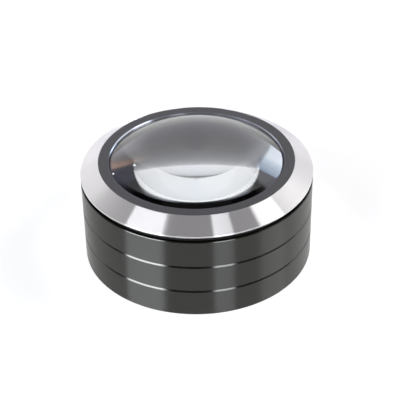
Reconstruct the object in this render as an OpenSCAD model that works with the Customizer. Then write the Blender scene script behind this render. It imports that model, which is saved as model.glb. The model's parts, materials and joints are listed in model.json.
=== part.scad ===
// Stand magnifier for low vision: a thick aluminium ring that rests on the
// page, with a plano-convex lens in a twist-to-light head and a ring of LEDs
// inside the wall. Units are millimetres, Z up, origin at the centre of the
// face it rests on.

/* [Housing] */
// outside diameter of the barrel and bezel
outer_d = 90; // [88:1:94]
// height of the barrel's top face above the page
barrel_h = 33.75; // [33:0.25:35]
// depth of the two turned grip grooves
groove_depth = 0.6; // [0.3:0.1:0.8]
// width of the two turned grip grooves
groove_w = 1.1; // [0.8:0.1:1.5]
// height of the open shadow gap under the bezel
shadow_gap = 1.5; // [1.2:0.1:2]

/* [Head] */
// radius of curvature of the lens's domed face
lens_radius = 60.7; // [58:0.1:66]
// height of the bezel's short vertical land
bezel_land = 1.35; // [0.8:0.05:2]
// width of the bezel's sloping face, measured along the radius
chamfer_w = 7.05; // [6.9:0.05:7.1]
// twist that switches the lamps on, degrees
twist_deg = 40; // [25:5:45]

/* [Lamps] */
// downward tilt of the lamps, degrees
led_tilt = 25; // [20:1:30]
// diameter of a lamp
led_d = 3; // [2.6:0.1:3]

/* [Battery] */
// diameter of a button cell
cell_d = 7.9; // [7.5:0.1:7.9]
// thickness of a button cell
cell_h = 3.6; // [3.2:0.1:3.6]
// width of the coin slot in the battery cap
coin_slot = 1.4; // [1:0.1:1.8]

/* [Output] */
// which sub-part to draw

/* [Hidden] */
$fn = 96;
R = outer_d / 2;
H = barrel_h;

// heights
z_foot = 0.3;              // barrel's bottom edge clears the page
z_plate = 1.2;             // underside of the base plate
z_web = 3.2;               // top of the base plate, bottom of the barrel's web
z_deck = 23;               // top of the web, where the circuit board lies
board_t = 1;
z_gap = H + shadow_gap;    // bezel's lower edge
z_seat = z_gap + 0.51;     // seat for the lens gasket
z_back = z_gap + 0.81;     // flat back of the lens
z_ring = z_gap + 5.75;     // top of the retaining ring
z_rim = z_gap + 5.02;      // dome at the retaining ring's lip
z_shoulder = H - 2.75;     // shoulder in the barrel over the snap ring
z_sleeve = H - 7.25;       // bottom of the head's sleeve

// radii
r_bore = R - 12;           // viewing bore
r_lip = R - 11.3;          // retaining ring's inner edge
r_lens = R - 10.4;
r_run = R - 2.45;          // running bore in the barrel
r_cell = R - 6.1;          // centre of the battery tube
r_mount = R - 6.2;         // bezel screws
r_pin = R - 3.75;
r_track1 = R - 4.25;
r_track2 = R - 3.15;

// azimuths, degrees counter-clockwise from +X
az_cell = 90;
az_leds = [150, 30, 270];
az_pin = 210;
az_wiper = 290;
az_board = [60, 180, 320];
az_base = [30, 150, 270];
az_bezel = [90, 210, 330];

sag_rim = lens_radius - sqrt(lens_radius * lens_radius - r_lip * r_lip);
z_apex = z_rim + sag_rim;
z_centre = z_apex - lens_radius;

module at(az, r, z = 0) { rotate([0, 0, az]) translate([r, 0, z]) children(); }

module tube(ro, ri, z0, z1) {
    rotate_extrude() polygon([[ri, z0], [ro, z0], [ro, z1], [ri, z1]]);
}

// a pie slice from azimuth a0 to a1 (less than 120 degrees), z0 to z1
module slice(a0, a1, z0, z1) {
    am = (a0 + a1) / 2;
    rr = 2 * R;
    translate([0, 0, z0]) linear_extrude(z1 - z0)
        polygon([[0, 0], [rr * cos(a0), rr * sin(a0)],
            [rr * cos(am), rr * sin(am)], [rr * cos(a1), rr * sin(a1)]]);
}

module torus(rc, rw, z) {
    rotate_extrude() translate([rc, z]) circle(r = rw, $fn = 32);
}

// ---------- fixed body ----------

module barrel() {
    color([0.13, 0.13, 0.14]) difference() {
        rotate_extrude() polygon([
            [R - 0.25, z_foot], [R, z_foot + 0.25],
            [R, 11.25 - groove_w / 2], [R - groove_depth, 11.25],
            [R, 11.25 + groove_w / 2],
            [R, 22.5 - groove_w / 2], [R - groove_depth, 22.5],
            [R, 22.5 + groove_w / 2],
            [R, H - 0.2], [R - 0.2, H], [r_run, H],
            [r_run, z_shoulder], [R - 1.7, z_shoulder], [R - 1.7, z_deck],
            [R - 10.95, z_deck], [R - 10.95, z_web],
            [R - 0.95, z_web], [R - 0.95, z_foot]]);
        // battery tube, its contact hole and the room for the cap's lugs
        at(az_cell, r_cell, z_web - 1) cylinder(r = cell_d / 2 + 0.5, h = 17.4);
        at(az_cell, r_cell, 19) cylinder(r = 0.8, h = 10);
        intersection() {
            at(az_cell, r_cell, z_web - 1) cylinder(r = 5.1, h = 2.05);
            tube(R - 1.2, R - 10.7, z_web - 1, z_web + 1.05);
        }
        at(az_pin, r_pin, 19.5) cylinder(r = 0.8, h = 10);
        for (a = az_board) at(a, R - 8.8, 18.5) cylinder(r = 0.8, h = 10);
        for (a = az_base) at(a, R - 6, z_web - 1) cylinder(r = 1, h = 6.5);
        // the space the lamps' leads come down into
        for (a = az_leds) at(a, R - 6.4, z_deck - 0.8)
            translate([-0.7, -1.6, 0]) cube([1.4, 3.2, 5]);
    }
}

module led_holes(rr) {
    for (a = az_leds) at(a, R - 7.4, z_deck + 6.6) rotate([0, -90 - led_tilt, 0])
        translate([0, 0, -1]) cylinder(r = rr, h = 9);
}

module liner() {
    color([0.07, 0.07, 0.07]) difference() {
        union() {
            tube(r_bore + 1, r_bore, z_web, H + 0.75);
            tube(R - 10.75, r_bore + 0.5, z_deck + board_t, z_deck + board_t + 0.8);
        }
        led_holes(led_d / 2 + 0.05);
    }
}

module glide_washer() {
    color([0.1, 0.1, 0.1]) tube(R - 1.5, r_run + 0.05, H, H + 0.5);
}

module pcb() {
    color([0.05, 0.3, 0.15]) difference() {
        tube(R - 1.9, r_bore + 1.3, z_deck, z_deck + board_t);
        at(az_pin, r_pin, z_deck - 1) cylinder(r = 1, h = 3);
        at(az_cell, r_cell, z_deck - 1) cylinder(r = 0.45, h = 3);
        for (a = az_board) at(a, R - 8.8, z_deck - 1) cylinder(r = 0.8, h = 3);
        for (a = az_leds) at(a, R - 6.4, z_deck - 1)
            for (s = [-1, 1]) translate([0, s * 0.9, 0]) cylinder(r = 0.28, h = 3);
    }
}

module led(a) {
    t = led_tilt;
    at(a, R - 7.4, z_deck + 6.6) {
        rotate([0, -90 - t, 0]) {
            cylinder(r = led_d / 2 + 0.4, h = 1);
            cylinder(r = led_d / 2, h = 5 - led_d / 2);
            translate([0, 0, 5 - led_d / 2]) sphere(r = led_d / 2);
        }
        for (s = [-1, 1]) translate([0, s * 0.9, 0]) {
            translate([-0.5, 0, 0]) rotate([0, 90, 0]) cylinder(r = 0.25, h = 1.5, $fn = 24);
            translate([1, 0, 0]) sphere(r = 0.25, $fn = 24);
            translate([1, 0, -6.9]) cylinder(r = 0.25, h = 6.9, $fn = 24);
        }
    }
}
module led_left() { color([0.9, 0.92, 0.95]) led(az_leds[0]); }
module led_right() { color([0.9, 0.92, 0.95]) led(az_leds[1]); }
module led_front() { color([0.9, 0.92, 0.95]) led(az_leds[2]); }

module resistors() {
    color([0.12, 0.12, 0.13]) for (a = [10, 130, 250]) at(a, R - 8.4, z_deck + board_t)
        translate([-0.62, -1, 0]) cube([1.25, 2, 0.5]);
}

module track_common() {
    color([0.8, 0.65, 0.3]) intersection() {
        tube(r_track1 + 0.35, r_track1 - 0.35, z_deck + board_t, z_deck + board_t + 0.2);
        slice(az_wiper + 2, az_wiper + twist_deg + 13, z_deck, z_deck + 3);
    }
}

module track_switched() {
    color([0.8, 0.65, 0.3]) intersection() {
        tube(r_track2 + 0.35, r_track2 - 0.35, z_deck + board_t, z_deck + board_t + 0.2);
        slice(az_wiper + twist_deg - 8, az_wiper + twist_deg + 13, z_deck, z_deck + 3);
    }
}

module stop_pin() {
    color([0.7, 0.7, 0.72]) at(az_pin, r_pin, 19.5) union() {
        cylinder(r = 0.8, h = H - 25.25);
        translate([0, 0, H - 25.25]) cylinder(r1 = 0.8, r2 = 0.55, h = 0.25);
    }
}

// pan-head screw, head up, shank down from z = 0
module pan_screw(r, len, rh, hh) {
    difference() {
        union() {
            translate([0, 0, -len]) cylinder(r = r, h = len);
            cylinder(r = rh, h = hh);
        }
        for (q = [0, 90]) rotate([0, 0, q]) translate([-rh * 0.6, -0.15, hh - 0.35])
            cube([rh * 1.2, 0.3, 1]);
    }
}

// countersunk screw, head at the bottom, z = 0 is the head's face
module flat_screw(r, len, rh) {
    difference() {
        union() {
            cylinder(r1 = rh, r2 = r, h = rh - r);
            cylinder(r = r, h = len);
        }
        for (q = [0, 90]) rotate([0, 0, q]) translate([-rh * 0.55, -0.15, -1])
            cube([rh * 1.1, 0.3, 1.45]);
    }
}

module pcb_screws() {
    color([0.75, 0.75, 0.76]) for (a = az_board) at(a, R - 8.8, z_deck + board_t)
        pan_screw(0.8, 5, 1.35, 0.8);
}

module positive_contact() {
    color([0.85, 0.68, 0.3]) at(az_cell, r_cell, 0) union() {
        translate([0, 0, 18.9]) cylinder(r = 3.5, h = 0.3);
        translate([0, 0, 19]) cylinder(r = 0.4, h = 5.6, $fn = 32);
    }
}

module battery_sleeve() {
    color([0.85, 0.85, 0.82]) at(az_cell, r_cell, 0) difference() {
        translate([0, 0, 4.3]) cylinder(r = cell_d / 2 + 0.5, h = 15.3);
        translate([0, 0, 3]) cylinder(r = cell_d / 2 + 0.15, h = 16.2);
        translate([0, 0, 15]) cylinder(r = 0.6, h = 6);
    }
}

// button cell: can, and the smaller negative face under it
module cell(k) {
    at(az_cell, r_cell, 18.9 - (k + 1) * cell_h) union() {
        cylinder(r = cell_d / 2 - 0.8, h = 0.5);
        translate([0, 0, 0.35]) cylinder(r1 = cell_d / 2 - 0.25, r2 = cell_d / 2, h = 0.25);
        translate([0, 0, 0.6]) cylinder(r = cell_d / 2, h = cell_h - 0.6);
    }
}
module cell_upper() { color([0.78, 0.78, 0.78]) cell(0); }
module cell_middle() { color([0.78, 0.78, 0.78]) cell(1); }
module cell_lower() { color([0.78, 0.78, 0.78]) cell(2); }

// a compression spring swept as a chain of rings of points
module battery_spring() {
    turns = 3.5;
    per = 20;
    m = 8;
    rw = 0.22;
    z0 = 4.2 + rw;
    z1 = 18.9 - 3 * cell_h - rw;
    n = turns * per;
    pts = [for (i = [0:n]) let (t = i / n, a = 360 * turns * t,
            f = t < 0.18 ? 0.06 * t / 0.18 : (t > 0.82 ? 0.94 + 0.06 * (t - 0.82) / 0.18
                : 0.06 + 0.88 * (t - 0.18) / 0.64),
            rr = 3.2 - 0.9 * t, z = z0 + (z1 - z0) * f)
        for (j = [0:m - 1]) let (q = 360 * (j + 0.5) / m)
            [(rr + rw * cos(q)) * cos(a), (rr + rw * cos(q)) * sin(a), z + rw * sin(q)]];
    faces = concat(
        [[for (j = [0:m - 1]) j]],
        [[for (j = [m - 1:-1:0]) n * m + j]],
        [for (i = [0:n - 1]) for (j = [0:m - 1]) let (k = (j + 1) % m)
            each [[i * m + j, (i + 1) * m + j, (i + 1) * m + k],
                [i * m + j, (i + 1) * m + k, i * m + k]]]);
    color([0.75, 0.75, 0.77]) at(az_cell, r_cell, 0) polyhedron(points = pts, faces = faces);
}

module base_plate() {
    color([0.09, 0.09, 0.09]) difference() {
        tube(R - 1, r_bore, z_plate, z_web);
        at(az_cell, r_cell, 0) cylinder(r = 4.5, h = 6);
        at(az_cell, r_cell, 0) rotate([0, 0, 150]) translate([-5.1, -0.95, 0])
            cube([10.2, 1.9, 6]);
        for (a = az_base) at(a, R - 6, z_plate) {
            cylinder(r1 = 1.95, r2 = 1, h = 0.95);
            cylinder(r = 1, h = 4);
            translate([0, 0, -1]) cylinder(r = 1.95, h = 1);
        }
    }
}

module base_screws() {
    color([0.75, 0.75, 0.76]) for (a = az_base) at(a, R - 6, z_plate) flat_screw(1, 7.3, 1.95);
}

module foot_ring() {
    color([0.06, 0.06, 0.06]) difference() {
        tube(R - 1.4, r_bore + 0.4, 0, z_plate);
        at(az_cell, r_cell, -1) cylinder(r = 5.6, h = 4);
    }
}

// ---------- twisting head ----------

module bezel() {
    color([0.8, 0.81, 0.83]) difference() {
        rotate_extrude() polygon([
            [R - 1.55, z_gap], [R - 0.12, z_gap], [R, z_gap + 0.12],
            [R, z_gap + bezel_land], [R - chamfer_w + 0.12, z_gap + 5.85],
            [R - chamfer_w, z_gap + 5.85], [R - 7.05, z_gap + 5.7],
            [R - 7.05, z_gap + 0.75], [R - 1.55, z_gap + 0.75]]);
        for (a = az_bezel) at(a, r_mount, z_gap - 1) cylinder(r = 0.65, h = 4.6);
    }
}

module retaining_ring() {
    color([0.2, 0.2, 0.21]) rotate_extrude() polygon([
        [r_lip, z_rim + 0.07], [r_lens + 0.15, z_rim - 0.57],
        [r_lens + 0.15, z_gap + 2.9], [R - 7.1, z_gap + 2.9],
        [R - 7.1, z_ring], [r_lip + 0.12, z_ring], [r_lip, z_ring - 0.12]]);
}

module lens() {
    color([0.85, 0.93, 0.95, 0.4]) intersection() {
        translate([0, 0, z_centre]) sphere(r = lens_radius, $fn = 180);
        translate([0, 0, z_back]) cylinder(r = r_lens, h = 40);
    }
}

module lens_gasket() {
    color([0.05, 0.05, 0.05]) tube(r_lens, r_lens - 1.1, z_seat, z_back);
}

module head_carrier() {
    color([0.12, 0.12, 0.12]) difference() {
        rotate_extrude() polygon([
            [r_bore + 0.2, z_gap - 0.45], [R - 5, z_gap - 0.45], [R - 5, z_sleeve],
            [R - 2.5, z_sleeve],
            [R - 2.5, z_shoulder - 1.15], [R - 3.75, z_shoulder - 1.15],
            [R - 3.75, z_shoulder - 0.05], [R - 2.5, z_shoulder - 0.05],
            [R - 2.5, H - 1.55], [R - 3.4, H - 1.55], [R - 3.4, H - 0.55],
            [R - 2.5, H - 0.55],
            [R - 2.5, H + 0.55], [R - 1.6, H + 0.55], [R - 1.6, z_gap + 0.75],
            [R - 7.15, z_gap + 0.75], [R - 7.15, z_gap + 2.85],
            [r_lens + 0.1, z_gap + 2.85], [r_lens + 0.1, z_seat],
            [r_bore + 0.2, z_seat]]);
        // the arc the stop pin stands in
        slice(az_pin - twist_deg - 1.3, az_pin + 1.3, z_sleeve - 1, z_sleeve + 2.1);
        for (a = az_bezel) at(a, r_mount, z_gap - 0.45) {
            cylinder(r1 = 1.05, r2 = 0.65, h = 0.4);
            cylinder(r = 0.65, h = 3);
            translate([0, 0, -0.5]) cylinder(r = 1.05, h = 0.51);
        }
        for (s = [-1, 1]) at(az_wiper - 2.4 + 1.1 * s, r_pin - 0.05, z_sleeve - 1)
            cylinder(r = 0.35, h = 2.2);
    }
}

module bezel_screws() {
    color([0.75, 0.75, 0.76]) for (a = az_bezel) at(a, r_mount, z_gap - 0.45)
        flat_screw(0.65, 3.9, 1.05);
}

module head_clip() {
    color([0.7, 0.7, 0.72]) difference() {
        tube(R - 1.9, R - 3.7, z_shoulder - 1.1, z_shoulder - 0.1);
        slice(20, 32, z_shoulder - 2, z_shoulder + 1);
    }
}

module head_oring() {
    color([0.04, 0.04, 0.04]) torus(R - 2.95, 0.42, H - 1.05);
}

module wiper() {
    zt = z_deck + board_t + 0.25;
    drop = z_sleeve - 0.15 - (zt + 0.3);
    tilt = atan(drop / 5.4);
    color([0.8, 0.62, 0.3]) difference() {
        at(az_wiper, 0, 0) {
            translate([R - 4.85, -3.2, z_sleeve - 0.25]) cube([2.1, 3.4, 0.25]);
            for (x = [R - 4.6, R - 3.5]) {
                translate([x, 0, z_sleeve - 0.25]) rotate([-tilt, 0, 0])
                    translate([-0.25, -0.1, 0]) cube([0.5, 5.4 / cos(tilt), 0.2]);
                translate([x, 5.3, zt + 0.3]) sphere(r = 0.3, $fn = 32);
            }
        }
        for (s = [-1, 1]) at(az_wiper - 2.4 + 1.1 * s, r_pin - 0.05, z_sleeve - 1)
            cylinder(r = 0.35, h = 2.2);
    }
}

module wiper_rivets() {
    color([0.75, 0.6, 0.35]) for (s = [-1, 1]) at(az_wiper - 2.4 + 1.1 * s, r_pin - 0.05, z_sleeve) union() {
        translate([0, 0, -0.25]) cylinder(r = 0.35, h = 1.45, $fn = 48);
        translate([0, 0, -0.5]) cylinder(r = 0.6, h = 0.25, $fn = 48);
    }
}

// ---------- battery cap ----------

module battery_cap() {
    color([0.16, 0.16, 0.17]) at(az_cell, r_cell, 0) difference() {
        union() {
            translate([0, 0, 0.5]) cylinder(r = 4.4, h = 3.7);
            rotate([0, 0, 90]) translate([-4.95, -0.8, 3.25]) cube([9.9, 1.6, 0.9]);
        }
        rotate_extrude() polygon([[3.62, 1.85], [5, 1.85], [5, 2.75], [3.62, 2.75]]);
        translate([-coin_slot / 2, -3.4, -0.5]) cube([coin_slot, 6.8, 1.9]);
    }
}

module cap_oring() {
    color([0.04, 0.04, 0.04]) at(az_cell, r_cell, 0) torus(4.04, 0.41, 2.3);
}

barrel();
liner();
glide_washer();
pcb();
led_left();
led_right();
led_front();
resistors();
track_common();
track_switched();
stop_pin();
pcb_screws();
positive_contact();
battery_sleeve();
cell_lower();
cell_middle();
cell_upper();
battery_spring();
base_plate();
base_screws();
foot_ring();
bezel();
retaining_ring();
lens();
lens_gasket();
head_carrier();
bezel_screws();
head_clip();
head_oring();
wiper();
wiper_rivets();
battery_cap();
cap_oring();
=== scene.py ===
import json
import math

import bpy
from mathutils import Matrix, Vector


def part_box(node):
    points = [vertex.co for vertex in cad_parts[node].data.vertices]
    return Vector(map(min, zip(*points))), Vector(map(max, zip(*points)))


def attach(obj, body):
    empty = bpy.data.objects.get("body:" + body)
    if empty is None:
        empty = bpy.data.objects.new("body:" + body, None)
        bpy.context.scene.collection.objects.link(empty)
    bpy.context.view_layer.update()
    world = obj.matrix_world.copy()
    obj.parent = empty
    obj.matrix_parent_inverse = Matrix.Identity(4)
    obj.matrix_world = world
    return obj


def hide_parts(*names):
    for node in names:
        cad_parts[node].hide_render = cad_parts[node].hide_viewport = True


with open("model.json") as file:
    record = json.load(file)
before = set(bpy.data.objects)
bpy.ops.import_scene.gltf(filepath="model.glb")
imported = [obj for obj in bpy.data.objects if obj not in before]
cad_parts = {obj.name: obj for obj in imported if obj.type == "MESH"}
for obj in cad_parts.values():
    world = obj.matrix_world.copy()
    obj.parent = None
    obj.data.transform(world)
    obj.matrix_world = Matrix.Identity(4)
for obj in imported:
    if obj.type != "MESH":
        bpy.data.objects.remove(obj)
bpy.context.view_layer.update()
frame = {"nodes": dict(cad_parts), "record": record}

MM = 0.001
COL = bpy.context.scene.collection


# ------------------------------------------------------------ node helpers

class Nodes:
    """A small wrapper that keeps the material code short."""

    def __init__(self, tree):
        self.tree = tree
        self.tree.nodes.clear()

    def add(self, kind, inputs=None, **attrs):
        n = self.tree.nodes.new(kind)
        for k, v in attrs.items():
            setattr(n, k, v)
        for k, v in (inputs or {}).items():
            self.put(n.inputs[k], v)
        return n

    def put(self, socket, v):
        if isinstance(v, bpy.types.NodeSocket):
            self.tree.links.new(v, socket)
        elif hasattr(v, "outputs"):
            self.tree.links.new(v.outputs[0], socket)
        else:
            socket.default_value = v

    def math(self, op, a, b=None, c=None, clamp=False):
        n = self.add("ShaderNodeMath", operation=op, use_clamp=clamp)
        for i, v in enumerate((a, b, c)):
            if v is not None:
                self.put(n.inputs[i], v)
        return n.outputs[0]

    def remap(self, v, a, b, c=0.0, d=1.0, kind="LINEAR"):
        n = self.add("ShaderNodeMapRange", interpolation_type=kind)
        for i, x in enumerate((v, a, b, c, d)):
            self.put(n.inputs[i], x)
        return n.outputs[0]

    def ramp(self, fac, stops, interp="LINEAR"):
        n = self.add("ShaderNodeValToRGB")
        n.color_ramp.interpolation = interp
        e = n.color_ramp.elements
        while len(e) > 1:
            e.remove(e[-1])
        e[0].position, e[0].color = stops[0][0], (*stops[0][1], 1)
        for p, c in stops[1:]:
            x = e.new(p)
            x.color = (*c, 1)
        self.put(n.inputs[0], fac)
        return n.outputs[0]

    def mix(self, fac, a, b, blend="MIX"):
        n = self.add("ShaderNodeMix", data_type="RGBA", blend_type=blend)
        self.put(n.inputs[0], fac)
        self.put(n.inputs[6], a if isinstance(a, bpy.types.NodeSocket) else (*a, 1))
        self.put(n.inputs[7], b if isinstance(b, bpy.types.NodeSocket) else (*b, 1))
        return n.outputs[2]

    def mixf(self, fac, a, b):
        n = self.add("ShaderNodeMix", data_type="FLOAT")
        self.put(n.inputs[0], fac)
        self.put(n.inputs[2], a)
        self.put(n.inputs[3], b)
        return n.outputs[0]

    def noise(self, vec, scale, detail=3.0, rough=0.5, dims="3D"):
        n = self.add("ShaderNodeTexNoise", noise_dimensions=dims)
        if vec is not None:
            self.put(n.inputs["Vector"], vec)
        n.inputs["Scale"].default_value = scale
        n.inputs["Detail"].default_value = detail
        n.inputs["Roughness"].default_value = rough
        return n.outputs[0]

    def bump(self, height, strength=0.2, dist=0.00005, normal=None):
        n = self.add("ShaderNodeBump")
        n.inputs["Strength"].default_value = strength
        n.inputs["Distance"].default_value = dist
        self.put(n.inputs["Height"], height)
        if normal is not None:
            self.put(n.inputs["Normal"], normal)
        return n.outputs[0]


def material(name):
    m = bpy.data.materials.new(name)
    m.use_nodes = True
    g = Nodes(m.node_tree)
    out = g.add("ShaderNodeOutputMaterial")
    return m, g, out


def polar(g):
    """Object position in millimetres as radius, angle (turns), height, and the raw position."""
    pos = g.add("ShaderNodeTexCoord").outputs["Object"]
    sep = g.add("ShaderNodeSeparateXYZ", {0: pos})
    x, y, z = (g.math("MULTIPLY", sep.outputs[i], 1000.0) for i in range(3))
    r = g.math("SQRT", g.math("ADD", g.math("MULTIPLY", x, x), g.math("MULTIPLY", y, y)))
    a = g.math("DIVIDE", g.math("ARCTAN2", y, x), 2 * math.pi)
    return pos, x, y, z, r, a


def principled(g, out, **kw):
    p = g.add("ShaderNodeBsdfPrincipled")
    for k, v in kw.items():
        g.put(p.inputs[k.replace("_", " ")], v)
    g.put(out.inputs[0], p.outputs[0])
    return p


def edge_wear(g, radius=0.00025, gain=2.2):
    """About 1 where the surface turns a sharp corner, 0 on flats."""
    bev = g.add("ShaderNodeBevel", samples=4)
    bev.inputs["Radius"].default_value = radius
    geo = g.add("ShaderNodeNewGeometry")
    dot = g.add("ShaderNodeVectorMath", operation="DOT_PRODUCT")
    g.put(dot.inputs[0], bev.outputs[0])
    g.put(dot.inputs[1], geo.outputs["Normal"])
    d = g.math("SUBTRACT", 1.0, dot.outputs["Value"])
    return g.math("MULTIPLY", d, gain, clamp=True)


# ---------------------------------------------------------------- materials

def turned_black(name, base=0.003, along=0.55, across=0.02, ior=1.72, lines=0.12, axis_lines="z", skin=None):
    """Black anodised aluminium left with the lathe's fine rings: the gloss spreads across the rings, hardly along them."""
    m, g, out = material(name)
    pos, x, y, z, r, a = polar(g)
    level = z if axis_lines == "z" else r
    # fine rings: a stretched noise that varies quickly along one direction only
    ring = g.add("ShaderNodeCombineXYZ", {0: g.math("MULTIPLY", level, 9.0), 1: g.math("MULTIPLY", a, 5.0), 2: 0.0})
    fine = g.noise(ring.outputs[0], 1.0, 4.0, 0.65)
    broad = g.noise(pos, 55.0, 3.0, 0.5)
    dust = g.noise(pos, 900.0, 2.0, 0.6)
    tone = g.mix(broad, (base * 0.9, base, base * 0.6), (base * 1.2, base * 1.3, base * 0.8))
    wear = edge_wear(g, 0.00018, 1.6)
    tone = g.mix(g.math("MULTIPLY", wear, g.remap(dust, 0.42, 0.7)), tone, (0.06, 0.06, 0.062))
    n = g.bump(fine, lines, 0.000003)
    tan = g.add("ShaderNodeTangent", direction_type="RADIAL", axis="Z")
    stretch = math.sqrt(across / along)
    rough = math.sqrt(math.sqrt(across * along))
    gloss = g.add("ShaderNodeBsdfAnisotropic", distribution="GGX")
    g.put(gloss.inputs["Color"], g.mix(broad, (0.97, 0.98, 0.95), (1.0, 1.0, 0.975)))
    rg = g.math("ADD", g.remap(fine, 0.3, 0.7, rough - 0.012, rough + 0.012), g.remap(dust, 0.3, 0.8, -0.004, 0.008))
    stretched = 1.0 - stretch
    if skin:
        # the grooves are cut with a sharp tool, so their flanks are smoother
        radius, top = skin
        groove = g.math("MULTIPLY", g.math("LESS_THAN", r, radius - 0.02), g.math("LESS_THAN", z, top - 1.0))
        arris = g.math("MULTIPLY", g.math("LESS_THAN", r, radius), g.math("GREATER_THAN", r, radius - 0.12))
        groove = g.math("MAXIMUM", groove, g.math("MULTIPLY", arris, g.math("COMPARE", z, top - 0.13, 0.11)))
        # painted shade: a band over each groove's undercut and upper flank, where the gloss is cut to 3% further down
        above = [g.math("COMPARE", z, zg + 0.26, 0.20) for zg in (11.25, 22.5)]
        groove_painted_shade = g.math("MULTIPLY", g.math("LESS_THAN", r, radius - 0.03), g.math("ADD", above[0], above[1]))
        rg = g.mixf(groove, rg, 0.16)
        stretched = g.mixf(groove, 1.0 - stretch, 0.45)
    g.put(gloss.inputs["Roughness"], rg)
    g.put(gloss.inputs["Anisotropy"], stretched)
    g.put(gloss.inputs["Normal"], n)
    g.put(gloss.inputs["Tangent"], tan.outputs[0])
    d = g.add("ShaderNodeBsdfDiffuse")
    g.put(d.inputs["Color"], tone)
    fres = g.add("ShaderNodeFresnel")
    fres.inputs["IOR"].default_value = ior
    mix = g.add("ShaderNodeMixShader")
    # a rough surface turns less mirror-like at grazing angles than a smooth one
    fac = g.math("ADD", g.math("MULTIPLY", fres.outputs[0], 0.45), 0.043)
    if skin:
        # painted shade: the top face hidden in the gap below the head has its gloss cut to 5%
        face = g.math("MULTIPLY", g.math("GREATER_THAN", z, top - 0.03), g.math("LESS_THAN", r, radius - 0.3))
        fac = g.math("MULTIPLY", fac, g.remap(face, 0, 1, 1.0, 0.05))
        # the smoother groove flanks reflect 1.4 times more, and the cap at 0.105 is painted shade standing in for the
        # groove's own shadow at grazing views
        fac = g.mixf(groove, fac, g.math("MINIMUM", g.math("MULTIPLY", fac, 1.4), 0.105))
        # painted shade: the gloss in the bands over the grooves is cut to 3%
        fac = g.math("MULTIPLY", fac, g.remap(groove_painted_shade, 0, 1, 1.0, 0.03))
    g.put(mix.inputs[0], fac)
    g.put(mix.inputs[1], d.outputs[0])
    g.put(mix.inputs[2], gloss.outputs[0])
    g.put(out.inputs[0], mix.outputs[0])
    return m


def turned_aluminium(name, z_land, r_out, reflect=0.62, along=0.5, across=0.006):
    """Clear anodised bezel: fine rings from the lathe on the cone, with a polished land below z_land (mm)."""
    m, g, out = material(name)
    pos, x, y, z, r, a = polar(g)
    ring = g.add("ShaderNodeCombineXYZ", {0: g.math("MULTIPLY", r, 7.0), 1: g.math("MULTIPLY", a, 7.0), 2: 0.0})
    fine = g.noise(ring.outputs[0], 1.0, 5.0, 0.7)
    # chatter left by the tool: very fine slanting ripples
    slant = g.math("ADD", g.math("MULTIPLY", r, 9.0), g.math("MULTIPLY", a, 900.0))
    chatter = g.math("SINE", slant)
    spots = g.noise(pos, 1500.0, 2.0, 0.7)
    broad = g.noise(pos, 40.0, 2.0, 0.5)
    lo = (reflect * 0.96, reflect * 0.935, reflect * 0.93)
    hi = (reflect * 1.07, reflect * 1.05, reflect * 1.05)
    tone = g.mix(g.remap(fine, 0.25, 0.75), lo, hi)
    tone = g.mix(g.remap(chatter, -1, 1, 0.0, 0.12), tone, (reflect * 0.72, reflect * 0.69, reflect * 0.69))
    tone = g.mix(g.remap(broad, 0.3, 0.7, 0.0, 0.08), tone, (reflect * 1.2, reflect * 1.17, reflect * 1.18))
    land = g.math("LESS_THAN", z, z_land)
    tone = g.mix(land, tone, (0.88, 0.86, 0.88))
    tan = g.add("ShaderNodeTangent", direction_type="RADIAL", axis="Z")
    h = g.math("ADD", g.math("MULTIPLY", fine, 0.8), g.math("MULTIPLY", chatter, 0.10))
    n = g.bump(h, 0.2, 0.000003)
    stretch = math.sqrt(across / along)
    rough = math.sqrt(math.sqrt(across * along))
    gloss = g.add("ShaderNodeBsdfAnisotropic", distribution="GGX")
    # like any metal it turns brighter at grazing angles
    fres = g.add("ShaderNodeFresnel")
    fres.inputs["IOR"].default_value = 1.5
    tone = g.mix(g.math("MULTIPLY", fres.outputs[0], 1.8, clamp=True), tone, (0.96, 0.95, 0.96))
    # painted shade: the bezel's underside in the gap, below the land and inside the rim, is coloured near black
    underside_painted_shade = g.math("MULTIPLY", g.math("LESS_THAN", z, z_land - 0.64), g.math("LESS_THAN", r, r_out - 0.1))
    tone = g.mix(underside_painted_shade, tone, (0.012, 0.012, 0.012))
    g.put(gloss.inputs["Color"], tone)
    g.put(gloss.inputs["Roughness"], g.math("ADD", g.remap(fine, 0.3, 0.7, rough - 0.01, rough + 0.01),
                                            g.remap(spots, 0.35, 0.8, -0.004, 0.01)))
    gloss.inputs["Anisotropy"].default_value = 1.0 - stretch
    g.put(gloss.inputs["Normal"], n)
    g.put(gloss.inputs["Tangent"], tan.outputs[0])
    g.put(out.inputs[0], gloss.outputs[0])
    return m


def satin_black(name, base=0.03, rough=0.42, grain=2600.0, bump=0.25, spec=0.5, polished_inside=None):
    """Bead-blasted and anodised, or moulded: an even satin with a fine grain."""
    m, g, out = material(name)
    pos = g.add("ShaderNodeTexCoord").outputs["Object"]
    fine = g.noise(pos, grain, 3.0, 0.6)
    broad = g.noise(pos, 80.0, 3.0, 0.5)
    tone = g.mix(g.remap(broad, 0.3, 0.7), (base * 0.88, base * 0.86, base * 0.9), (base * 1.12, base * 1.08, base * 1.14))
    wear = edge_wear(g, 0.00012, 1.2)
    tone = g.mix(g.math("MULTIPLY", wear, g.remap(fine, 0.45, 0.65)), tone, (base * 3, base * 3, base * 3.1))
    rg = g.remap(fine, 0.3, 0.7, rough - 0.05, rough + 0.06)
    if polished_inside:
        r = polar(g)[4]
        inner = g.math("LESS_THAN", r, polished_inside)
        rg = g.mixf(inner, rg, 0.13)
        tone = g.mix(inner, tone, (0.21, 0.22, 0.26))
    n = g.bump(fine, bump, 0.000012)
    p = principled(g, out, Base_Color=tone, Roughness=rg, IOR=1.5, Normal=n)
    if polished_inside:
        g.put(p.inputs["Metallic"], inner)
    p.inputs["Specular IOR Level"].default_value = spec
    return m


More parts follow.
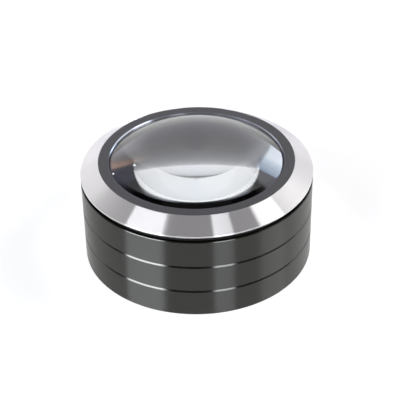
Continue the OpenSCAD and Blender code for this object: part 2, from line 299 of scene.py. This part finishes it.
def rubber(name):
    m, g, out = material(name)
    pos = g.add("ShaderNodeTexCoord").outputs["Object"]
    fine = g.noise(pos, 1800.0, 4.0, 0.65)
    broad = g.noise(pos, 90.0, 3.0, 0.5)
    tone = g.mix(broad, (0.012, 0.012, 0.013), (0.03, 0.03, 0.031))
    tone = g.mix(g.remap(fine, 0.6, 0.75, 0, 0.5), tone, (0.075, 0.073, 0.07))
    n = g.bump(fine, 0.5, 0.00003)
    principled(g, out, Base_Color=tone, Roughness=g.remap(fine, 0.3, 0.7, 0.68, 0.85), Normal=n)
    return m


def metal(name, colour, rough=0.25, scratch=0.3, tint=None):
    m, g, out = material(name)
    pos = g.add("ShaderNodeTexCoord").outputs["Object"]
    fine = g.noise(pos, 2500.0, 4.0, 0.7)
    broad = g.noise(pos, 250.0, 3.0, 0.5)
    dark = tuple(c * 0.75 for c in colour)
    tone = g.mix(g.remap(broad, 0.3, 0.75), colour, tint or dark)
    tone = g.mix(g.remap(fine, 0.62, 0.75, 0, 0.35), tone, tuple(c * 0.5 for c in colour))
    rg = g.math("ADD", g.remap(fine, 0.3, 0.7, rough - 0.06, rough + 0.08), 0.0)
    n = g.bump(fine, scratch, 0.000006)
    principled(g, out, Base_Color=tone, Metallic=1.0, Roughness=rg, Normal=n)
    return m


def plastic(name, colour, rough=0.45, grain=1500.0):
    m, g, out = material(name)
    pos = g.add("ShaderNodeTexCoord").outputs["Object"]
    fine = g.noise(pos, grain, 3.0, 0.6)
    broad = g.noise(pos, 120.0, 3.0, 0.5)
    tone = g.mix(g.remap(broad, 0.3, 0.7), tuple(c * 0.92 for c in colour), tuple(min(1, c * 1.05) for c in colour))
    n = g.bump(fine, 0.2, 0.00001)
    principled(g, out, Base_Color=tone, Roughness=g.remap(fine, 0.3, 0.7, rough - 0.05, rough + 0.08), Normal=n)
    return m


def board(name):
    """Green solder mask over a copper weave."""
    m, g, out = material(name)
    pos, x, y, z, r, a = polar(g)
    weave = g.math("MULTIPLY", g.math("SINE", g.math("MULTIPLY", x, 12.0)), g.math("SINE", g.math("MULTIPLY", y, 12.0)))
    tracks = g.math("COMPARE", g.math("FRACT", g.math("MULTIPLY", r, 0.8)), 0.5, 0.22)
    arcs = g.math("GREATER_THAN", g.math("SINE", g.math("MULTIPLY", a, 2 * math.pi * 3)), -0.2)
    copper = g.math("MULTIPLY", tracks, arcs)
    tone = g.mix(g.remap(weave, -1, 1), (0.006, 0.07, 0.028), (0.01, 0.10, 0.04))
    tone = g.mix(copper, tone, (0.03, 0.20, 0.06))
    n = g.bump(copper, 0.3, 0.00003)
    principled(g, out, Base_Color=tone, Roughness=g.remap(weave, -1, 1, 0.28, 0.4), Normal=n)
    return m


def clear_epoxy(name):
    m, g, out = material(name)
    pos = g.add("ShaderNodeTexCoord").outputs["Object"]
    fine = g.noise(pos, 400.0, 2.0, 0.5)
    p = principled(g, out, Base_Color=g.mix(fine, (0.86, 0.88, 0.86), (0.95, 0.96, 0.93)), IOR=1.53,
                   Roughness=g.remap(fine, 0.3, 0.7, 0.04, 0.10))
    p.inputs["Transmission Weight"].default_value = 0.75
    return m


def lens_glass(name):
    """Polished crown glass; the faint tint comes from handling."""
    m, g, out = material(name)
    pos = g.add("ShaderNodeTexCoord").outputs["Object"]
    film = g.noise(pos, 60.0, 4.0, 0.6)
    gl = g.add("ShaderNodeBsdfGlass", distribution="GGX")
    gl.inputs["IOR"].default_value = 1.528
    g.put(gl.inputs["Color"], g.mix(film, (0.985, 0.992, 0.992), (0.995, 0.998, 1.0)))
    gl.inputs["Roughness"].default_value = 0.0
    g.put(out.inputs[0], gl.outputs[0])
    return m


def edge_ink(name):
    """Matte black ink on the lens's ground edge."""
    m, g, out = material(name)
    pos = g.add("ShaderNodeTexCoord").outputs["Object"]
    fine = g.noise(pos, 1500.0, 3.0, 0.6)
    d = g.add("ShaderNodeBsdfDiffuse")
    g.put(d.inputs["Color"], g.mix(fine, (0.0015, 0.0015, 0.002), (0.005, 0.005, 0.006)))
    g.put(out.inputs[0], d.outputs[0])
    return m


MATS = {
    "black_anodised": turned_black("m_black_anodised", skin=(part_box("barrel")[1][0] / MM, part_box("barrel")[1][2] / MM)),
    "black_liner": satin_black("m_black_liner", 0.03, 0.5, 2200.0, 0.3),
    "black_plastic": satin_black("m_black_plastic", 0.012, 0.55, 1200.0, 0.2),
    "board": board("m_board"),
    "lamp": clear_epoxy("m_lamp"),
    "chip": plastic("m_chip", (0.03, 0.03, 0.035), 0.5, 3000.0),
    "contact_metal": metal("m_contact", (0.82, 0.60, 0.25), 0.22, 0.3, (0.72, 0.50, 0.22)),
    "steel": metal("m_steel", (0.66, 0.66, 0.68), 0.28, 0.35),
    "white_plastic": plastic("m_white_plastic", (0.72, 0.72, 0.69), 0.45),
    "base_metal": satin_black("m_base_metal", 0.022, 0.45, 1800.0, 0.3),
    "rubber": rubber("m_rubber"),
    "bezel_aluminium": turned_aluminium("m_bezel_aluminium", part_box("bezel")[0][2] / MM + 1.30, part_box("bezel")[1][0] / MM),
    "black_ring": satin_black("m_black_ring", 0.029, 0.38, 2600.0, 0.2, 0.5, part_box("barrel")[1][0] / MM - 11.0),
    "lens_glass": lens_glass("m_lens_glass"),
    "black_carrier": satin_black("m_black_carrier", 0.008, 0.6, 2200.0, 0.3),
    "cap_metal": turned_black("m_cap_metal", 0.012, 0.3, 0.05, 1.6, 0.1, "r"),
}
INK = edge_ink("m_lens_edge_ink")

slot_of = {s["node"]: s["material_slot"] for s in frame["record"]["subparts"]}
for node, obj in frame["nodes"].items():
    m = MATS[slot_of[node]]
    if not obj.data.materials:
        obj.data.materials.append(m)
    for i in range(len(obj.data.materials)):
        obj.data.materials[i] = m
    for sl in obj.material_slots:
        sl.material = m


# ------------------------------------------------------------- mesh building

def fillet(points, radii, steps=4, guard=0.12):
    """Rounds the corners of a closed (r, z) outline. A guard point each side keeps the flats flat."""
    out = []
    n = len(points)
    for i, (p, rad) in enumerate(zip(points, radii)):
        if rad <= 0:
            out.append(p)
            continue
        a, b = Vector(points[i - 1]), Vector(points[(i + 1) % n])
        p = Vector(p)
        u, v = (a - p), (b - p)
        lu, lv = u.length, v.length
        u.normalize()
        v.normalize()
        ang = u.angle(v)
        t = min(rad / math.tan(ang / 2), lu * 0.45, lv * 0.45)
        rr = t * math.tan(ang / 2)
        c = p + (u + v).normalized() * (rr / math.sin(ang / 2))
        s, e = p + u * t, p + v * t
        g1, g2 = min(guard, (lu - t) * 0.4), min(guard, (lv - t) * 0.4)
        out.append(tuple(s + u * g1))
        a0 = math.atan2(s.y - c.y, s.x - c.x)
        a1 = math.atan2(e.y - c.y, e.x - c.x)
        d = (a1 - a0 + math.pi) % (2 * math.pi) - math.pi
        for k in range(steps + 1):
            q = a0 + d * k / steps
            out.append((c.x + rr * math.cos(q), c.y + rr * math.sin(q)))
        out.append(tuple(e + v * g2))
    return out


def lathe(name, outline, segs=256, closed=True, arc=None):
    """Turns a closed (r, z) outline in millimetres about Z. arc=(a0, a1) in degrees makes a capped part turn."""
    full = arc is None
    a0, a1 = (0.0, 360.0) if full else arc
    cols = segs if full else segs + 1
    verts, faces = [], []
    for i in range(cols):
        a = math.radians(a0 + (a1 - a0) * i / segs)
        for r, z in outline:
            verts.append((r * math.cos(a) * MM, r * math.sin(a) * MM, z * MM))
    n = len(outline)
    for i in range(segs):
        j = (i + 1) % cols
        for k in range(n if closed else n - 1):
            l = (k + 1) % n
            faces.append((i * n + k, j * n + k, j * n + l, i * n + l))
    if not full and closed:
        faces.append(tuple(range(n)))
        faces.append(tuple((cols - 1) * n + k for k in reversed(range(n))))
    me = bpy.data.meshes.new(name)
    me.from_pydata(verts, [], faces)
    me.validate()
    me.update()
    # outward normals: the signed area of the outline says which way it winds
    area = sum(outline[k][0] * outline[(k + 1) % n][1] - outline[(k + 1) % n][0] * outline[k][1] for k in range(n))
    if area < 0:
        me.flip_normals()
    me.shade_smooth()
    me.set_sharp_from_angle(angle=math.radians(28))
    o = bpy.data.objects.new(name, me)
    COL.objects.link(o)
    return o


def piece(o, body, slot_name, *nodes):
    o.data.materials.clear()
    o.data.materials.append(MATS[slot_name])
    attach(o, body)
    if nodes:
        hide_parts(*nodes)
    return o


def mmbox(node):
    lo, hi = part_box(node)
    return [v / MM for v in lo], [v / MM for v in hi]


# every size below comes from the CAD boxes
b_lo, b_hi = mmbox("barrel")
z_lo, z_hi = mmbox("bezel")
l_lo, l_hi = mmbox("lens")
r_lo, r_hi = mmbox("retaining_ring")
c_lo, c_hi = mmbox("head_carrier")
g_lo, g_hi = mmbox("lens_gasket")
w_lo, w_hi = mmbox("glide_washer")
RO = b_hi[0]                      # outside radius
H = b_hi[2]                       # barrel's top face
ZF = b_lo[2]                      # barrel's lower edge
GAP = z_lo[2]                     # bezel's lower edge
TOP = z_hi[2]                     # bezel's top edge
RIM = r_hi[2]                     # retaining ring's top face
RL = l_hi[0]                      # lens radius
BACK = l_lo[2]
APEX = l_hi[2]
LIP = RO - 11.3
LENS_R = 60.7

# --- barrel: the finished outer skin, a hair proud of the CAD wall, with rounded edges and two grooves.
# Each groove has a flat lower flank that faces up at 30 degrees and a small undercut below its upper lip.
PR = 0.02


def groove(z):
    return [(RO + PR, z - 0.57), (RO - 0.33, z + 0.01), (RO - 0.42, z + 0.14), (RO - 0.13, z + 0.44), (RO + PR, z + 0.46)]


GR = [0.05, 0.0, 0.0, 0.0, 0.06]
G1, G2 = 11.25, 22.5
barrel_pts = ([(RO - 0.95, ZF), (RO + PR, ZF)] + groove(G1) + groove(G2) + [
    (RO + PR, H - 0.24), (RO - 0.11, H - 0.02), (RO - 0.2, H + PR), (RO - 2.45, H + PR), (RO - 2.45, H - 1.0), (RO - 1.2, H - 1.6), (RO - 1.2, 4.0), (RO - 0.95, 3.2)])
barrel_rad = [0.0, 0.28] + GR + GR + [0.04, 0.03, 0.04, 0.12, 0, 0, 0, 0]
skin = piece(lathe("barrel_skin", fillet(barrel_pts, barrel_rad), 384), "base", "black_anodised")

# --- bezel
bezel_pts = [
    (RO - 1.55, GAP), (RO - 0.95, GAP), (RO - 0.95, GAP + 0.62), (RO, GAP + 0.62), (RO, GAP + 1.35), (RO - 7.05, TOP), (RO - 7.05, GAP + 0.75),
    (RO - 1.55, GAP + 0.75)]
bezel_rad = [0.0, 0.05, 0.0, 0.12, 0.16, 0.10, 0, 0]
bezel = piece(lathe("bezel_turned", fillet(bezel_pts, bezel_rad, 5), 384), "head", "bezel_aluminium", "bezel")

# --- retaining ring, with a small bevel that catches the light at its inner edge
zr = math.sqrt(LENS_R ** 2 - LIP ** 2) + (APEX - LENS_R)
ring_pts = [
    (LIP - 0.2, zr + 0.17), (RL + 0.15, zr - 0.57), (RL + 0.15, GAP + 2.9), (RO - 7.1, GAP + 2.9),
    (RO - 7.1, RIM), (LIP + 0.22, RIM), (LIP - 0.2, zr + 0.25)]
ring_rad = [0, 0, 0, 0, 0.12, 0.02, 0]
ring = piece(lathe("retaining_ring_turned", fillet(ring_pts, ring_rad, 4), 384), "head", "black_ring", "retaining_ring")

# --- lens gasket
gask = fillet([(RL - 1.1, g_lo[2]), (RL, g_lo[2]), (RL, g_hi[2]), (RL - 1.1, g_hi[2])], [0.08, 0.05, 0.05, 0.08], 3, 0.05)
piece(lathe("lens_gasket_ring", gask, 256), "head", "rubber", "lens_gasket")

# --- head carrier: a full ring above, and the sleeve's lower edge cut away for the stop pin
SL = c_lo[2]
NOTCH = SL + 2.1
SH = H - 2.75
upper = [
    (RO - 11.8, GAP - 0.45), (RO - 5, GAP - 0.45), (RO - 5, NOTCH), (RO - 2.5, NOTCH),
    (RO - 2.5, SH - 1.15), (RO - 3.75, SH - 1.15), (RO - 3.75, SH - 0.05), (RO - 2.5, SH - 0.05),
    (RO - 2.5, H - 1.55), (RO - 3.4, H - 1.55), (RO - 3.4, H - 0.55), (RO - 2.5, H - 0.55),
    (RO - 2.5, H + 0.55), (RO - 1.6, H + 0.55), (RO - 1.6, GAP + 0.75), (RO - 7.15, GAP + 0.75),
    (RO - 7.15, GAP + 2.85), (RL + 0.1, GAP + 2.85), (RL + 0.1, g_lo[2]), (RO - 11.8, g_lo[2])]
upper_rad = [0.1] + [0] * 12 + [0.12] + [0] * 5 + [0.1]
carrier = piece(lathe("head_carrier_turned", fillet(upper, upper_rad, 3), 256), "head", "black_carrier", "head_carrier")
skirt = fillet([(RO - 5, SL), (RO - 2.5, SL), (RO - 2.5, NOTCH), (RO - 5, NOTCH)], [0.12, 0.12, 0, 0], 3)
skirt_o = piece(lathe("head_carrier_sleeve", skirt, 220, arc=(211.3, 360 + 168.7)), "head", "black_carrier")

# --- glide washer seen in the gap
wash = fillet([(RO - 2.4, w_lo[2]), (RO - 1.5, w_lo[2]), (RO - 1.5, w_hi[2]), (RO - 2.4, w_hi[2])], [0.05, 0.08, 0.08, 0.05], 2, 0.05)
piece(lathe("glide_washer_ring", wash, 256), "base", "black_plastic", "glide_washer")


# --- lens: polished dome and flat back, ground and inked edge
def make_lens():
    segs, rings = 320, 72
    zc = APEX - LENS_R
    bevel = 0.10
    prof = []
    rdome = RL - bevel
    for k in range(rings + 1):
        t = k / rings
        r = rdome * t
        prof.append((r, zc + math.sqrt(LENS_R ** 2 - r * r)))
    z_edge = prof[-1][1] - bevel * 0.9
    prof.append((RL, z_edge))
    n_dome = len(prof) - 2
    prof.append((RL, BACK + bevel))
    prof.append((RL - bevel, BACK))
    for k in range(1, 25):
        prof.append(((RL - bevel) * (1 - k / 25), BACK))
    prof.append((0.0, BACK))
    verts, faces, inks = [], [], []
    index = []
    for r, z in prof:
        if r < 1e-9:
            index.append([len(verts)])
            verts.append((0, 0, z * MM))
        else:
            row = []
            for i in range(segs):
                a = 2 * math.pi * i / segs
                row.append(len(verts))
                verts.append((r * math.cos(a) * MM, r * math.sin(a) * MM, z * MM))
            index.append(row)
    for k in range(len(prof) - 1):
        A, B = index[k], index[k + 1]
        ink = n_dome <= k <= n_dome + 2
        for i in range(segs):
            j = (i + 1) % segs
            if len(A) == 1:
                f = (A[0], B[i], B[j])
            elif len(B) == 1:
                f = (A[i], B[0], A[j])
            else:
                f = (A[i], B[i], B[j], A[j])
            faces.append(f)
            inks.append(ink)
    me = bpy.data.meshes.new("lens_polished")
    me.from_pydata(verts, [], faces)
    me.update()
    me.materials.append(MATS["lens_glass"])
    me.materials.append(INK)
    for p, ink in zip(me.polygons, inks):
        p.material_index = 1 if ink else 0
    me.shade_smooth()
    me.set_sharp_from_angle(angle=math.radians(20))
    o = bpy.data.objects.new("lens_polished", me)
    COL.objects.link(o)
    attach(o, "head")
    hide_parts("lens")
    return o


lens = make_lens()


# ------------------------------------------------------------------- setting

def make_floor():
    """A pale sweep the object stands on: one wide flat disc that glows softly and evenly, with painted light: a
    brighter glow in the disc beneath the object.
    """
    segs = 96
    radii = [0.0, 0.06, 0.12, 0.3, 1.0, 4.0, 20.0, 60.0]
    verts = [(0, 0, -0.00002)]
    faces = []
    for r in radii[1:]:
        for i in range(segs):
            a = 2 * math.pi * i / segs
            verts.append((r * math.cos(a), r * math.sin(a), -0.00002))
    for i in range(segs):
        faces.append((0, 1 + i, 1 + (i + 1) % segs))
    for k in range(len(radii) - 2):
        for i in range(segs):
            j = (i + 1) % segs
            faces.append((1 + k * segs + i, 1 + (k + 1) * segs + i, 1 + (k + 1) * segs + j, 1 + k * segs + j))
    me = bpy.data.meshes.new("floor")
    me.from_pydata(verts, [], faces)
    me.update()
    o = bpy.data.objects.new("floor", me)
    COL.objects.link(o)
    m, g, out = material("m_floor")
    pos = g.add("ShaderNodeTexCoord").outputs["Object"]
    paper = g.noise(pos, 300.0, 3.0, 0.5)
    d = g.add("ShaderNodeBsdfDiffuse")
    g.put(d.inputs["Color"], g.mix(paper, (0.49, 0.49, 0.49), (0.51, 0.51, 0.51)))
    e = g.add("ShaderNodeEmission")
    e.inputs["Color"].default_value = (1, 1, 1, 1)
    sep = g.add("ShaderNodeSeparateXYZ", {0: pos})
    rr = g.math("SQRT", g.math("ADD", g.math("POWER", sep.outputs[0], 2.0), g.math("POWER", sep.outputs[1], 2.0)))
    # painted light: the floor glows brighter beneath the object, within 46 mm of its axis, than further out
    g.put(e.inputs["Strength"], g.remap(rr, 0.046, 0.075, FLOOR_PAINTED_GLOW, FLOOR_FAR, kind="SMOOTHSTEP"))
    s = g.add("ShaderNodeAddShader")
    g.put(s.inputs[0], d.outputs[0])
    g.put(s.inputs[1], e.outputs[0])
    g.put(out.inputs[0], s.outputs[0])
    me.materials.append(m)
    return o


FLOOR_PAINTED_GLOW = 0.70
FLOOR_FAR = 0.50
make_floor()

CAM_EL = math.radians(35.08)
CE, SE = math.cos(CAM_EL), math.sin(CAM_EL)

# brightness of the studio round the object, by the bearing (degrees) that a
# turned ring shows it at: soft panels with gaps between them, in four tiers by height
LOW = [(-180, .95), (-100, .9), (-90, .5), (-70, .5), (-60, .5), (-55, .3), (-50, .15), (-38, .08), (-37.2, 7.4),
       (-30, 7.8), (-17.3, 8.2), (-16.7, .04), (7.2, .04), (7.8, 4.8), (17.2, 4.0), (17.8, .04), (30, .05), (33, .12),
       (38, .65), (52, .7), (60, .55), (70, .4), (90, .1), (100, .4), (180, .95)]
LINE = [(-180, .8), (-95, .3), (-85, .03), (-38, .02), (-37.2, 7.6), (-30, 8.0), (-17.3, 8.4), (-16.7, .02), (7.2, .02),
        (7.8, 5.0), (17.2, 4.2), (17.8, .02), (75, .03), (92, .2), (180, .8)]
MID = [(-180, 5.0), (-115, 4.6), (-102, 3.4), (-90, 1.9), (-80, 1.6), (-66, 1.9), (-60, 1.5), (-50, 1.25),
       (-40, 1.05), (-38, 1.0), (-37.2, 1.5), (-33, 1.15), (-25, .75), (-17.3, .6), (-16.7, .9), (-13, .5), (7.2, .5),
       (7.8, 1.4), (17.2, 1.1), (17.8, .55), (31.8, .7), (32.6, 4.9), (46.6, 5.7), (47.4, 2.8),
       (56, 3.0), (66, 2.9), (80, 1.5), (90, 1.3), (102, 2.4), (115, 4.4), (180, 5.0)]
RIM = [(-180, 5.5), (-115, 4.6), (-100, 3.2), (-90, 2.3), (-80, 2.0), (-70, 1.3), (-60, .5), (-50, .1), (-45, .03),
       (42, .03), (48, .3), (56, 1.0), (62, 1.3), (70, 1.3), (80, 2.1), (90, 2.1), (100, 2.6), (115, 4.4), (180, 5.5)]
# the same tier as the polished dome shows it: pale walls with a dark front
DOME = [(-180, (1.1, 1.1, 1.12)), (-120, (1.45, 1.42, 1.55)), (-100, (1.95, 1.9, 2.1)), (-90, (1.6, 1.55, 1.6)),
        (-86.5, (1.7, 1.5, 1.5)), (-84.5, (2.3, 1.75, 1.55)), (-81, (3.2, 2.2, 1.9)), (-79, (3.1, 2.2, 1.95)),
        (-77.3, (1.1, .95, 1.0)), (-75.5, (0.75, 0.72, 1.0)), (-62, (0.7, 0.7, 0.95)), (-54, (0.2, 0.2, 0.24)),
        (-47, (0.03,) * 3), (44, (0.03,) * 3), (51.5, (0.3,) * 3), (55, (1.9, 1.9, 1.95)), (60, (2.0, 2.0, 2.2)),
        (64, (1.9, 1.9, 2.2)), (90, (1.6, 1.6, 1.8)), (110, (1.4, 1.4, 1.5)), (125, (1.25, 1.25, 1.3)), (180, (1.1, 1.1, 1.12))]
WINDOW = [(0, (3.9, 4.7, 6.3)), (64, (3.9, 4.7, 6.3)), (70, (5.4, 6.3, 7.8)), (80.5, (7.2, 8.0, 9.2)), (83, (8.0, 8.5, 9.3)),
          (90, (6.4, 6.9, 7.6)), (97, (5.0, 5.4, 6.0)), (108, (3.2, 3.4, 3.9)), (116, (2.2, 2.3, 2.6)), (180, (1.2, 1.2, 1.3))]
SKY = (0.91, 0.895, 0.99)


def make_world():
    w = bpy.data.worlds.new("studio")
    bpy.context.scene.world = w
    w.use_nodes = True
    g = Nodes(w.node_tree)
    out = g.add("ShaderNodeOutputWorld")
    d = g.add("ShaderNodeTexCoord").outputs["Generated"]
    s = g.add("ShaderNodeSeparateXYZ", {0: d})
    X, Y, Z = s.outputs
    my = g.math("SUBTRACT", CE, Y)
    mz = g.math("ADD", Z, SE)
    az = g.math("DEGREES", g.math("ARCTAN2", X, my))
    hl = g.math("SQRT", g.math("ADD", g.math("MULTIPLY", X, X), g.math("MULTIPLY", my, my)))
    phi = g.math("DEGREES", g.math("ARCTAN2", mz, hl))
    t = g.remap(az, -180, 180)

    def bands(table, tint=(1.0, 1.0, 1.0), at=None):
        top = 16.0
        stops = [((a + 180) / 360, tuple(k / top for k in (v if isinstance(v, tuple) else (v,) * 3))) for a, v in table]
        return g.mix(1.0, g.ramp(t if at is None else at, stops), tuple(top * k for k in tint), "MULTIPLY")

    c = g.mix(g.remap(phi, 20, 24, kind="SMOOTHSTEP"), bands(LOW, (0.97, 1.0, 1.06)), bands(LINE, (0.97, 1.0, 1.05)))
    c = g.mix(g.remap(phi, 35, 38, kind="SMOOTHSTEP"), c, bands(MID, (1.0, 1.0, 1.0)))
    lp = g.add("ShaderNodeLightPath")
    rim = bands(RIM)
    c = g.mix(g.remap(phi, 54, 55.5, kind="SMOOTHSTEP"), c, rim)
    c = g.mix(g.remap(phi, 65, 69, kind="SMOOTHSTEP"), c, SKY)
    # polished glass shows the room sharply: pale walls, and one tall window to the right
    lean = g.math("ADD", az, g.math("MULTIPLY", 0.55, g.math("SUBTRACT", phi, 57.8)))
    over = g.math("MAXIMUM", g.math("SUBTRACT", az, 68.0), 0.0)
    top_edge = g.math("SUBTRACT", 63.7, g.math("MULTIPLY", 0.0045, g.math("MULTIPLY", over, over)))
    inside = g.math("MULTIPLY", g.remap(lean, 65.2, 66.4, kind="SMOOTHSTEP"),
                    g.remap(g.math("SUBTRACT", top_edge, phi), -0.7, 0.9, kind="SMOOTHSTEP"))
    tilt = g.math("MULTIPLY", g.remap(az, -50, -60), g.math("MULTIPLY", 0.9, g.math("SUBTRACT", phi, 58.0)))
    side = g.remap(g.math("SUBTRACT", az, tilt), -180, 180)
    sharp = g.mix(g.remap(phi, 58, 74, kind="SMOOTHSTEP"), bands(DOME, at=side), SKY)
    # a dark gap between the window and the wall next to it
    wedge = g.math("MULTIPLY", g.remap(phi, 61.8, 63.4, kind="SMOOTHSTEP"), g.remap(phi, 68.0, 65.5, kind="SMOOTHSTEP"))
    wedge = g.math("MULTIPLY", wedge, g.math("MULTIPLY", g.remap(az, 53, 58), g.remap(az, 73, 68)))
    sharp = g.mix(g.math("MULTIPLY", wedge, 0.85), sharp, (0.15, 0.15, 0.25))
    halo = g.math("MULTIPLY", g.remap(lean, 65.0, 69.0), g.remap(g.math("SUBTRACT", top_edge, phi), -7.0, 0.5, 0.0, 0.2))
    sharp = g.mix(halo, sharp, bands(WINDOW))
    sharp = g.mix(inside, sharp, bands(WINDOW))
    for a0, p0, rad in ((-70.2, 63.8, 0.7), (-75.9, 55.0, 0.5)):
        da = g.math("MULTIPLY", g.math("SUBTRACT", az, a0), math.cos(math.radians(p0)))
        dp = g.math("SUBTRACT", phi, p0)
        dd = g.math("SQRT", g.math("ADD", g.math("MULTIPLY", da, da), g.math("MULTIPLY", dp, dp)))
        sharp = g.mix(g.remap(dd, rad, rad * 0.5, kind="SMOOTHSTEP"), sharp, (12.0, 12.0, 12.5))
    c = g.mix(lp.outputs["Is Singular Ray"], c, sharp)
    # the sweep runs up to a white horizon all round
    c = g.mix(g.remap(Z, 0.09, 0.12, 1.0, 0.0), c, (1.06, 1.06, 1.06))
    # light that comes in or out through the lens: an even white room
    t2 = g.remap(az, -180, 180)
    room = g.ramp(t2, [(0.0, (0.85, 0.87, 0.92)), (0.22, (0.91, 0.92, 0.945)), (0.29, (0.90, 0.90, 0.92)), (0.5, (0.62, 0.62, 0.65)),
                       (0.70, (0.84, 0.84, 0.86)), (0.78, (0.865, 0.87, 0.90)), (1.0, (0.85, 0.87, 0.92))])
    c = g.mix(lp.outputs["Is Transmission Ray"], c, room)
    # behind the object the sweep is plain white
    c = g.mix(lp.outputs["Is Camera Ray"], c, (1.06, 1.06, 1.06))
    bg = g.add("ShaderNodeBackground")
    g.put(bg.inputs["Color"], c)
    bg.inputs["Strength"].default_value = 1.0
    g.put(out.inputs[0], bg.outputs[0])


make_world()


def area(name, loc, target, size, power, colour=(1, 1, 1)):
    li = bpy.data.lights.new(name, "AREA")
    li.shape = "RECTANGLE"
    li.size, li.size_y = size
    li.energy = power
    li.color = colour
    o = bpy.data.objects.new(name, li)
    COL.objects.link(o)
    o.location = loc
    o.rotation_mode = "QUATERNION"
    o.rotation_quaternion = (Vector(target) - Vector(loc)).to_track_quat("-Z", "Y")
    return o


area("overhead_panel", (0.0, 0.2, 1.6), (0, 0, 0), (1.4, 1.4), 0.5)


# ------------------------------------------------------------------- camera

def make_camera():
    roll = math.radians(1.0808)
    back = Vector((0, -CE, SE))
    right = Vector((1, 0, 0))
    up = Vector((0, SE, CE))
    c = (right * 1.0588 + up * 17.3066 + back * 511.097) * MM
    cr = right * math.cos(roll) - up * math.sin(roll)
    cu = right * math.sin(roll) + up * math.cos(roll)
    rot = Matrix((cr, cu, back)).transposed().to_4x4()
    cam = bpy.data.cameras.new("camera")
    cam.sensor_width = 36.0
    cam.lens = 36.0 * 1264.504 / 400.0
    cam.clip_start, cam.clip_end = 0.01, 200.0
    o = bpy.data.objects.new("camera", cam)
    COL.objects.link(o)
    o.matrix_world = Matrix.Translation(c) @ rot
    bpy.context.scene.camera = o


make_camera()

sc = bpy.context.scene
sc.view_settings.view_transform = "Standard"
sc.view_settings.look = "None"
